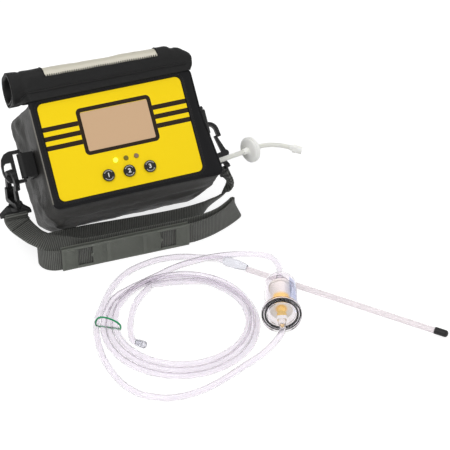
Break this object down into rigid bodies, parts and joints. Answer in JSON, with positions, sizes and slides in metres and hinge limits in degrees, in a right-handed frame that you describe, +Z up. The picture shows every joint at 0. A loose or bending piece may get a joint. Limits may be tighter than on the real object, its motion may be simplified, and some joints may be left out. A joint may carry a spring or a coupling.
{
  "type": "portable gas detector",
  "caption": "Portable pumped gas detector in a padded carrying case with rolled cover flap, clip-on shoulder strap, disc inlet filter and coiled sampling line with moisture filter and probe",
  "frame": {"origin": "on the surface that the part stands on, below the middle of the case with its strap and inlet line, without the free sampling line", "axes": "+X to the user's right along the case's width, +Y away from the user, +Z up"},
  "size_m": [0.3647, 0.4016, 0.1863],
  "materials": {
    "case_fabric": "coarse woven nylon, padded",
    "frame_vinyl": "smooth coated nylon with piping",
    "webbing": "ribbed polypropylene webbing",
    "clear_film": "flexible clear film, frosted",
    "housing_plastic": "moulded, fine texture",
    "gasket_rubber": "moulded",
    "steel": "plated",
    "yellow_overlay": "satin membrane overlay",
    "display_tan": "tinted display window",
    "display_module": "metal-framed display on a board",
    "board_green": "solder-masked board",
    "led_lens": "tinted diffusing lens",
    "black_plastic": "moulded",
    "cell_sleeve": "printed sleeve",
    "white_plastic": "moulded",
    "sensor_grey": "moulded",
    "milky_tube": "soft translucent tubing",
    "milky_plastic": "moulded, translucent",
    "hook_plastic": "moulded acetal",
    "pad_foam": "moulded, ribbed",
    "clear_plastic": "clear moulding",
    "clear_tube": "clear flexible tubing",
    "seal_rubber": "O-ring",
    "element_media": "pleated filter media",
    "tie_green": "coated wire tie",
    "rod_clear": "clear rigid tube",
    "tip_black": "moulded tip"
  },
  "bodies": {
    "case": {"case_body": "case_fabric", "case_back_panel": "case_fabric", "front_frame": "frame_vinyl", "flap_hem": "case_fabric", "left_side_tab": "webbing", "right_side_tab": "webbing", "front_housing": "housing_plastic", "rear_housing": "housing_plastic", "housing_gasket": "gasket_rubber", "housing_screws": "steel", "face_overlay": "yellow_overlay", "display_window": "display_tan", "lcd_module": "display_module", "main_board": "board_green", "status_leds": "led_lens", "key_switches": "black_plastic", "battery_holder": "black_plastic", "battery_cells": "cell_sleeve", "sensor_block": "white_plastic", "sensor_cell": "sensor_grey", "pump_head": "black_plastic", "pump_motor": "steel", "internal_tube": "milky_tube", "inlet_port": "milky_plastic", "inlet_tube": "milky_tube", "disc_filter_inlet_half": "milky_plastic", "disc_filter_outlet_half": "milky_plastic", "tail_tube": "milky_tube", "luer_fitting": "milky_plastic", "left_eye": "hook_plastic", "right_eye": "hook_plastic", "strap_webbing": "webbing", "shoulder_pad": "pad_foam", "filter_bowl": "clear_plastic", "filter_element": "element_media", "filter_line": "clear_tube", "line_coil": "clear_tube", "coil_tie": "tie_green", "line_end_fitting": "clear_plastic", "probe_line": "clear_tube", "probe_connector": "clear_plastic", "probe_rod": "rod_clear", "probe_tip": "tip_black"},
    "flap": {"flap": "case_fabric", "flap_window": "clear_film"},
    "left_key": {"left_key": "black_plastic"},
    "middle_key": {"middle_key": "black_plastic"},
    "right_key": {"right_key": "black_plastic"},
    "pump_shaft": {"pump_shaft": "steel"},
    "luer_collar": {"luer_collar": "milky_plastic"},
    "left_ring": {"left_ring": "hook_plastic"},
    "right_ring": {"right_ring": "hook_plastic"},
    "left_hook": {"left_hook": "hook_plastic"},
    "right_hook": {"right_hook": "hook_plastic"},
    "left_gate": {"left_gate": "hook_plastic"},
    "right_gate": {"right_gate": "hook_plastic"},
    "filter_cap": {"filter_cap": "clear_plastic", "filter_o_ring": "seal_rubber"}
  },
  "joints": [
    {"name": "flap_swing", "type": "hinge", "parent": "case", "child": "flap", "pos_m": [-0.03712, -0.00558, 0.16644], "axis": [1, 0, 0], "range_deg": [0, 130]},
    {"name": "left_key_press", "type": "slide", "parent": "case", "child": "left_key", "axis": [0, 0.7431, -0.6691], "range_m": [0, 0.001], "stiffness_N_per_m": 900, "springref_m": -0.0004},
    {"name": "middle_key_press", "type": "slide", "parent": "case", "child": "middle_key", "axis": [0, 0.7431, -0.6691], "range_m": [0, 0.001], "stiffness_N_per_m": 900, "springref_m": -0.0004},
    {"name": "right_key_press", "type": "slide", "parent": "case", "child": "right_key", "axis": [0, 0.7431, -0.6691], "range_m": [0, 0.001], "stiffness_N_per_m": 900, "springref_m": -0.0004},
    {"name": "pump_spin", "type": "hinge", "parent": "case", "child": "pump_shaft", "pos_m": [-0.03712, 0.00809, 0.07582], "axis": [1, 0, 0], "continuous": true},
    {"name": "luer_collar_spin", "type": "hinge", "parent": "case", "child": "luer_collar", "pos_m": [0.15785, -0.03567, 0.05754], "axis": [0.828, -0.523, -0.2022], "continuous": true},
    {"name": "left_ring_swing", "type": "hinge", "parent": "case", "child": "left_ring", "pos_m": [-0.13612, -0.01785, 0.09782], "axis": [0, 0.6691, 0.7431], "range_deg": [-3, 3]},
    {"name": "right_ring_swing", "type": "hinge", "parent": "case", "child": "right_ring", "pos_m": [0.06187, -0.0145, 0.10154], "axis": [0, 0.6691, 0.7431], "range_deg": [-3, 3]},
    {"name": "left_hook_swivel", "type": "hinge", "parent": "case", "child": "left_hook", "pos_m": [-0.15038, -0.0255, 0.0546], "axis": [0, 0, 1], "range_deg": [-3, 3]},
    {"name": "right_hook_swivel", "type": "hinge", "parent": "case", "child": "right_hook", "pos_m": [0.07408, -0.033, 0.05917], "axis": [-0.1392, 0.6626, 0.7359], "range_deg": [-3, 3]},
    {"name": "left_gate_open", "type": "hinge", "parent": "left_hook", "child": "left_gate", "pos_m": [-0.14831, -0.0327, 0.062], "axis": [-0.9613, -0.2756, 0], "range_deg": [0, 24], "stiffness_Nm_per_rad": 0.02, "springref_deg": -17.19},
    {"name": "right_gate_open", "type": "hinge", "parent": "right_hook", "child": "right_gate", "pos_m": [0.08047, -0.0274, 0.06539], "axis": [0, -0.7431, 0.6691], "range_deg": [0, 24], "stiffness_Nm_per_rad": 0.02, "springref_deg": -17.19},
    {"name": "filter_cap_twist", "type": "hinge", "parent": "case", "child": "filter_cap", "pos_m": [0.05087, -0.2469, 0.01995], "axis": [-0.3739, -0.9254, 0.0628], "range_deg": [0, 90]}
  ]
}
